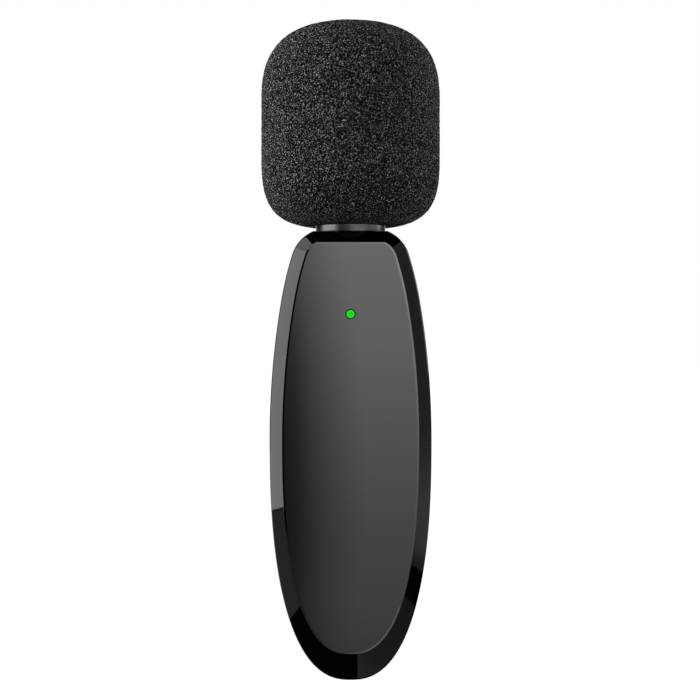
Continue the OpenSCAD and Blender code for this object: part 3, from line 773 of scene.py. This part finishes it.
def make_rear():
    """The rear cover: a tub with a lip, screw seats, the hinge's ears, two slots and the bite's grooves."""
    lip_y, seam_y = SPLIT_Y - LIP_T, SPLIT_Y + SEAM / 2
    rings = [plain_ring(d, y) for d, y in ((WALL, -WALL), (WALL, lip_y), (LIP_W, lip_y), (LIP_W, seam_y))]
    rings += seam_rings(seam_y, 1)
    rings += [plain_ring(0, FLANK_BACK_Y)]
    rings += soft_rings((0, -BACK_BEVEL - BACK_EDGE), (0, -BACK_BEVEL), (0.2, -BACK_BEVEL + 0.2))
    rings += soft_rings((BACK_BEVEL - 0.18, -0.18), (BACK_BEVEL, 0), (BACK_BEVEL + 0.2, 0))
    rings += [plain_ring(BACK_BEVEL + 0.32, 0)]
    rear = skin("satin_tub", rings)
    posts = [rod(s, POST_D, POST_Y, -WALL + OVERLAP) for s in SCREWS]
    ears = [bored_lug("ear", x, x + EAR_T, EAR_R, -EAR_ROOT, PIN_D) for x in (-EAR_X - EAR_T, EAR_X)]
    combine(rear, posts + ears, "UNION")
    cuts = [
        neck_cutter(),
        slot_cutter("port_slot", -1, PORT_Y, PORT_Z, PORT_SLOT),
        slot_cutter("key_slot", 1, KEY_Y, KEY_Z, KEY_SLOT),
    ]
    for x, z in SCREWS:
        cuts.append(spindle("seat", [
            (SCREW_HOLE_R, -6), (SCREW_HOLE_R, SCREW_SEAT_Y), (SCREW_SEAT_R, SCREW_SEAT_Y),
            (SCREW_SEAT_R, -0.06), (SCREW_SEAT_R + 0.09, 0.03), (SCREW_SEAT_R + 0.09, 1),
        ], (x, 0, z)))
    cuts += grip_grooves(BITE_HALF_W, 0, BITE_Z)
    combine(rear, cuts, "DIFFERENCE")
    finish_piece(smooth(rear), satin, "housing", "housing_satin", "rear_cover")


make_front()
make_rear()


# ---------------------------------------------------------------- power key


def make_key():
    """The power key: a cap with a softly broken edge, on the flange that keeps it in."""

    def section(x, size, grow=0.0):
        return [(x, KEY_Y + a, KEY_Z + b) for a, b in pill(size, grow)]

    edge = fillet((0.0, KEY_FACE_X - 0.2), (0.0, KEY_FACE_X), (-0.18, KEY_FACE_X))
    key = skin("key_cap", [
        section(x, KEY_SIZE, grow) for grow, x in [(0.0, FLANGE_X[0] + 0.02)] + edge + [(-0.3, KEY_FACE_X)]
    ])
    combine(key, [skin("flange", [section(x, FLANGE_SIZE) for x in FLANGE_X])], "UNION")
    finish_piece(smooth(key, 30), satin, "power_key", "housing_satin", "power_button")


make_key()


# ---------------------------------------------------------------- clip


def arm_line(z):
    """Middle of the arm's thickness at height z: the jaw, the bend into the throat and the flat back."""
    jaw, back = BITE_GAP + PAD_T + ARM_T / 2, THROAT + ARM_T / 2
    u = min(1, max(0, (z - JAW_TOP_Z) / (BEND_TOP_Z - JAW_TOP_Z)))
    return jaw + (back - jaw) * u * u * (3 - 2 * u)


def arm_plan(d, y, steps=144):
    """The arm's outline as the clip is seen from the back, drawn in by d, at a depth."""
    out = []
    for i in range(steps):
        t = 2 * math.pi * (i + 0.5) / steps
        x = (ARM_HALF_W - d) * squared(math.cos(t), ARM_POWER)
        out.append((x, y, ARM_MID_Z + (ARM_HALF_H - d) * squared(math.sin(t), ARM_POWER)))
    return out


def bend_arm(arm):
    """Bends the flat arm along its line, after cuts across it that let the bend run smoothly."""
    bm = bmesh.new()
    bm.from_mesh(arm.data)
    for i in range(32):
        every = bm.verts[:] + bm.edges[:] + bm.faces[:]
        cut_z = JAW_TOP_Z - 0.4 + 0.2 * i
        bmesh.ops.bisect_plane(bm, geom=every, dist=1e-7, plane_co=(0, 0, cut_z * MM), plane_no=(0, 0, 1))
    for v in bm.verts:
        z, off = v.co.z / MM, v.co.y / MM
        slope = math.atan((arm_line(z + 0.01) - arm_line(z - 0.01)) / 0.02)
        v.co.y = (arm_line(z) + off * math.cos(slope)) * MM
        v.co.z = (z - off * math.sin(slope)) * MM
    bm.to_mesh(arm.data)
    bm.free()


def make_arm():
    """The clip's arm, with the cheeks that take the pin and the grooves under the thumb."""
    half, soft = ARM_T / 2, ARM_EDGE
    inner_edge = fillet((soft, -half), (0, -half), (0, -half + soft))
    outer_edge = fillet((0, half - soft), (0, half), (soft, half))
    side = [(soft + 0.25, -half)] + inner_edge + outer_edge + [(soft + 0.25, half)]
    arm = skin("lever", [arm_plan(d, y) for d, y in side])
    bend_arm(arm)
    cheeks = [
        bored_lug("cheek", x, x + CHEEK_T, CHEEK_R, THROAT + CHEEK_ROOT, PIN_D + CHEEK_FIT)
        for x in (-CHEEK_X - CHEEK_T, CHEEK_X)
    ]
    combine(arm, cheeks, "UNION")
    combine(arm, grip_grooves(THUMB_HALF_W, THROAT + ARM_T, THUMB_Z), "DIFFERENCE")
    finish_piece(smooth(arm), satin, "clip", "housing_satin", "clip_arm")


def make_spring():
    """The torsion spring: a smooth helix with both legs up, one on the housing and one on the arm."""
    leg_y = WIRE_D / 2 + LEG_GAP - PIVOT_Y
    lean = math.atan2(-leg_y, LEG_RISE) + math.acos(COIL_R / math.hypot(leg_y, LEG_RISE))
    start_deg = 90 + math.degrees(lean)
    turns = COIL_TURNS + (360 - start_deg) / 360
    steps = int(turns * 40)
    coil = []
    for i in range(steps + 1):
        u = turns * i / steps
        t = math.radians(start_deg + 360 * u)
        x = (u - turns / 2) * COIL_PITCH
        coil.append(Vector((x, PIVOT_Y + COIL_R * math.cos(t), PIVOT_Z + COIL_R * math.sin(t))))
    fixed_end = Vector((coil[0].x, PIVOT_Y + leg_y, PIVOT_Z + LEG_RISE))
    free_end = Vector((coil[-1].x, PIVOT_Y + COIL_R + LEG_LEAN, PIVOT_Z + LEG_RISE))
    fixed_leg = [fixed_end.lerp(coil[0], k / 10) for k in range(10)]
    free_leg = [coil[-1].lerp(free_end, k / 10) for k in range(1, 11)]
    spring = smooth(wire("torsion_spring", fixed_leg + coil + free_leg, WIRE_D), 50)
    spring.data.materials.append(wire_finish)
    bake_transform(spring)
    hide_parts("clip_spring")


make_arm()
make_spring()


# ---------------------------------------------------------------- studio tools

# Places in the studio are in degrees, as seen from its middle. Azimuth 0 is in front, 90 on the key's side.
STUDIO = Vector((0, AXIS_Y, 25.5))
CAMERA_X, CAMERA_Y = -0.055, -161.5  # the camera stands level with the studio's middle
NEAR, CARD_AT, FAR = 440, 450, 460  # how far away lights stand: those that overlap in view stand apart
FLOCK_AT = 900
BLACK, WHITE = linear("#000000"), linear("#ffffff")


def way_to(azimuth, height):
    """One millimetre in the direction of a place in the studio."""
    a, e = math.radians(azimuth), math.radians(height)
    return Vector((math.sin(a) * math.cos(e), -math.cos(a) * math.cos(e), math.sin(e)))


def only_mirrored(obj, paint):
    """Paints a piece of the studio that is seen in reflections and nowhere else."""
    obj.data.materials.append(paint)
    obj.visible_camera = obj.visible_diffuse = obj.visible_shadow = obj.visible_transmission = False


def dome_patch(name, azimuths, heights, distance, paint, bow=0.0):
    """A patch of a dome round the microphone, between two azimuths and two heights, seen only in reflections.
    bow swings it left, by so many degrees at 10 degrees above or below a height of -6, and by four times
    that at 20."""
    rows, columns = 12, 24
    points, places = [], []
    for r in range(rows + 1):
        el = heights[0] + (heights[1] - heights[0]) * r / rows
        for c in range(columns + 1):
            az = azimuths[0] + (azimuths[1] - azimuths[0]) * c / columns - bow * ((el + 6) / 10) ** 2
            points.append(tuple(STUDIO + distance * way_to(az, el)))
            places.append((c / columns, r / rows))
    faces = []
    for r in range(rows):
        for c in range(columns):
            k = r * (columns + 1) + c
            faces.append((k, k + 1, k + columns + 2, k + columns + 1))
    patch = mesh_object(name, points, faces)
    grid = patch.data.uv_layers.new(name="grid")
    for loop in patch.data.loops:
        grid.data[loop.index].uv = places[loop.vertex_index]
    only_mirrored(patch, paint)


EVEN = [(0, 1.0), (1, 1.0)]


def softbox(name, azimuths, heights, level, across=EVEN, up=EVEN, bow=0.0, distance=CARD_AT):
    """A soft light seen in the gloss. across and up are stops of its brightness from left to right and from
    bottom to top, as shares of its level."""
    made, tree = blank_material(name)
    place = add(tree, "ShaderNodeUVMap", uv_map="grid").outputs["UV"]
    parts = add(tree, "ShaderNodeSeparateXYZ", {"Vector": place}).outputs
    wide = add(tree, "ShaderNodeValToRGB", {"Fac": parts["X"]}, stops=across).outputs["Color"]
    high = add(tree, "ShaderNodeValToRGB", {"Fac": parts["Y"]}, stops=up).outputs["Color"]
    both = add(tree, "ShaderNodeMath", {0: wide, 1: high}, operation="MULTIPLY").outputs[0]
    power = add(tree, "ShaderNodeMath", {0: both, 1: level}, operation="MULTIPLY").outputs[0]
    glow = add(tree, "ShaderNodeEmission", {"Strength": power}).outputs["Emission"]
    add(tree, "ShaderNodeOutputMaterial", {"Surface": glow})
    dome_patch(name, azimuths, heights, distance, made, bow)


def stops_by_angle(edges, stops, full=1.0):
    """Stops given by their angle and their brightness, as shares of the way between two edges and of full."""
    low, high = edges
    return [((angle - low) / (high - low), tone / full) for angle, tone in stops]


# ---------------------------------------------------------------- lights seen in the gloss

# The face's light: its brightness by height, and its share of that by azimuth. It stands a little to the
# right, and fades towards its left edge and its foot.
FACE_AZ, FACE_EL = (-5.0, 31.0), (-20.0, 18.0)
FACE_LEVEL, FACE_MIDDLE = 6.4, 0.75  # its level, and the share of it that the middle has
FACE_UP = stops_by_angle(FACE_EL, (
    (-14.8, 0.9), (-12.4, 1.2), (-9, 1.4), (-4.5, 2.0), (0.5, 2.76), (5, 3.3), (8, 4.4), (17, 4.6),
), FACE_LEVEL * FACE_MIDDLE)
FACE_ACROSS = stops_by_angle(FACE_AZ, (
    (-3.2, 0.12), (-2.5, 0.20), (-1.7, 0.43), (-0.9, 0.65), (-0.1, 0.83), (0.8, 1.0), (5.2, 1.0), (7.8, 1.3),
), 1 / FACE_MIDDLE)
RIGHT_EL = (-19.5, 42.5)


def hang_softboxes():
    """Hangs the softboxes and cards that show in the gloss."""
    # In the face, and round it for other views. The cards beside the softbox also show in the land.
    softbox("face_softbox", FACE_AZ, FACE_EL, FACE_LEVEL, FACE_ACROSS, FACE_UP, bow=1.0)
    softbox("face_side_card", (22, 58), FACE_EL, 6.2, [(0, 1), (0.6, 1), (1, 0.5)], FACE_UP, distance=FAR)
    softbox("face_foot_card", (-25, 58), (-36, -20), 2.2, [(0, 0.15), (0.28, 0.4), (0.42, 1), (1, 1)],
            distance=NEAR)
    softbox("face_top_card", (-25, 35), (18, 34), 5.0, [(0, 0.5), (0.4, 0.7), (0.75, 1), (1, 1)])
    # In the bevel's left side and its top corners, and along the left flank.
    softbox("left_softbox", (-104, -49), (-10.9, 30.3), 2.84)
    softbox("left_top_softbox", (-104, -49), (30.3, 53.3), 1.72)
    softbox("left_low_card", (-106, -5), (-29.5, -11.1), 0.34, up=[(0, 0.97), (1, 0.85)], distance=FAR)
    softbox("rim_card", (-152, -107), (-60, -5), 1.6)
    # In the bevel's right side and the collar, and in the right half of the tip.
    softbox("right_card", (60, 115), RIGHT_EL, 0.55, up=stops_by_angle(RIGHT_EL, (
        (-19.5, 0.3), (-18.3, 0.42), (-17.2, 0.65), (-15.5, 0.97), (-10, 1.04), (-3.5, 0.5), (0, 0.43),
        (28, 0.46), (33, 0.53), (38, 0.44), (42.5, 0.5),
    )))
    softbox("collar_card_near", (70, 86), (3, 26), 1.3, distance=NEAR)
    softbox("collar_card_far", (98, 117), (3, 26), 2.6, distance=NEAR)
    softbox("tip_card", (8.5, 92), (-72, -26.3), 0.5, [(0, 1.0), (0.25, 0.8), (1, 0.8)],
            [(0, 1.0), (0.35, 0.6), (1, 0.35)])
    # In the back of the housing and the clip.
    softbox("back_left_softbox", (-160, -118), (20, 60), 1.4, [(0, 0.3), (0.4, 1.0), (1, 0.3)])
    softbox("back_right_softbox", (118, 160), (20, 60), 1.4, [(0, 0.3), (0.6, 1.0), (1, 0.3)])


def hang_net():
    """A black net close in front of the neck, which takes the face's light down in the collar alone."""
    net, tree = blank_material("black_net")
    gaps = add(tree, "ShaderNodeBsdfTransparent").outputs["BSDF"]
    thread = add(tree, "ShaderNodeBsdfDiffuse", {"Color": BLACK}).outputs["BSDF"]
    woven = add(tree, "ShaderNodeMixShader", {0: 0.8, 1: gaps, 2: thread}).outputs["Shader"]
    add(tree, "ShaderNodeOutputMaterial", {"Surface": woven})
    left, right, low, high = -0.58, 7.05, 37.1, 39.0
    corners = at_depth([(left, low), (right, low), (right, high), (left, high)], FRONT_Y - 1.6)
    only_mirrored(mesh_object("collar_net", corners, [(0, 1, 2, 3)]), net)


def hang_flock():
    """Black flock all round, so that the gloss shows its lights on a dark ground. It leaves a window of 50
    by 64 degrees straight behind the microphone."""
    flock, tree = blank_material("black_flock")
    black = add(tree, "ShaderNodeBsdfDiffuse", {"Color": BLACK}).outputs["BSDF"]
    add(tree, "ShaderNodeOutputMaterial", {"Surface": black})
    dome_patch("flock_wall", (-155, 155), (-89, 89), FLOCK_AT, flock)
    dome_patch("flock_over", (155, 205), (32, 89), FLOCK_AT, flock)
    dome_patch("flock_under", (155, 205), (-89, -32), FLOCK_AT, flock)


# ---------------------------------------------------------------- lamps, world, floor and camera


def set_lamps(diameter=260):
    """Soft round lamps for form, left out of the reflections, which have the softboxes."""
    for name, azimuth, height, watts in (
        ("left_lamp", -75, 25, 2.34),
        ("front_lamp", -8, 48, 0.884),
        ("right_lamp", 112, 20, 1.43),
        ("back_lamp", -140, 25, 2.6),
    ):
        light = bpy.data.lights.new(name, "AREA")
        light.shape, light.size, light.energy = "DISK", diameter * MM, watts
        lamp = bpy.data.objects.new(name, light)
        bpy.context.scene.collection.objects.link(lamp)
        way = way_to(azimuth, height)
        lamp.location = (STUDIO + CARD_AT * way) * MM
        lamp.rotation_euler = way.to_track_quat("Z", "Y").to_euler()
        lamp.visible_glossy = False


def set_world(fill=0.25):
    """White where the camera looks past the microphone and in what mirrors or passes on the backdrop, and an
    even fill for the rest."""
    world = bpy.data.worlds.new("studio")
    bpy.context.scene.world = world
    world.use_nodes = True
    sky = world.node_tree
    sky.nodes.clear()
    rays = add(sky, "ShaderNodeLightPath").outputs
    seen = add(sky, "ShaderNodeMath", {
        0: rays["Is Camera Ray"], 1: rays["Is Transmission Ray"],
    }, operation="MAXIMUM").outputs[0]
    shown = add(sky, "ShaderNodeMath", {0: seen, 1: rays["Is Glossy Ray"]}, operation="MAXIMUM").outputs[0]
    level = add(sky, "ShaderNodeMath", {0: shown, 1: fill}, operation="MAXIMUM").outputs[0]
    backdrop = add(sky, "ShaderNodeBackground", {"Color": WHITE, "Strength": level}).outputs["Background"]
    add(sky, "ShaderNodeOutputWorld", {"Surface": backdrop})


def lay_floor(z=-19, reach=3000):
    """White paper 12 mm under the tip, which keeps the soft shadow and is plain white farther off."""
    paper, tree = blank_material("white_paper")
    rays = add(tree, "ShaderNodeLightPath").outputs
    sheet = add(tree, "ShaderNodeBsdfDiffuse", {"Color": linear("#bcbcbc")}).outputs["BSDF"]
    plain = add(tree, "ShaderNodeEmission", {"Color": WHITE, "Strength": 1.06}).outputs["Emission"]
    spot = add(tree, "ShaderNodeTexCoord").outputs["Object"]
    away = add(tree, "ShaderNodeVectorMath", {0: spot}, operation="LENGTH").outputs["Value"]
    mostly = add(tree, "ShaderNodeMapRange", {
        "Value": away, "From Min": 100 * MM, "From Max": 220 * MM, "To Min": 0.8,
    }).outputs["Result"]
    white = add(tree, "ShaderNodeMath", {
        0: rays["Is Camera Ray"], 1: mostly,
    }, operation="MULTIPLY").outputs[0]
    mixed = add(tree, "ShaderNodeMixShader", {0: white, 1: sheet, 2: plain}).outputs["Shader"]
    add(tree, "ShaderNodeOutputMaterial", {"Surface": mixed})
    corners = [(-reach, -reach, z), (reach, -reach, z), (reach, reach, z), (-reach, reach, z)]
    floor = mesh_object("floor", corners, [(0, 1, 2, 3)])
    floor.data.materials.append(paper)
    floor.visible_glossy = False


def place_camera():
    """Straight in front of the housing, level with the middle of the microphone."""
    lens = bpy.data.cameras.new("camera")
    lens.lens, lens.sensor_width = 80, 36
    lens.clip_start, lens.clip_end = 0.005, 50
    camera = bpy.data.objects.new("camera", lens)
    bpy.context.scene.collection.objects.link(camera)
    camera.location = (CAMERA_X * MM, CAMERA_Y * MM, STUDIO.z * MM)
    camera.rotation_euler = (math.radians(90), 0, 0)
    bpy.context.scene.camera = camera


hang_softboxes()
hang_net()
hang_flock()
set_lamps()
set_world()
lay_floor()
place_camera()
bpy.context.scene.view_settings.view_transform = "Standard"
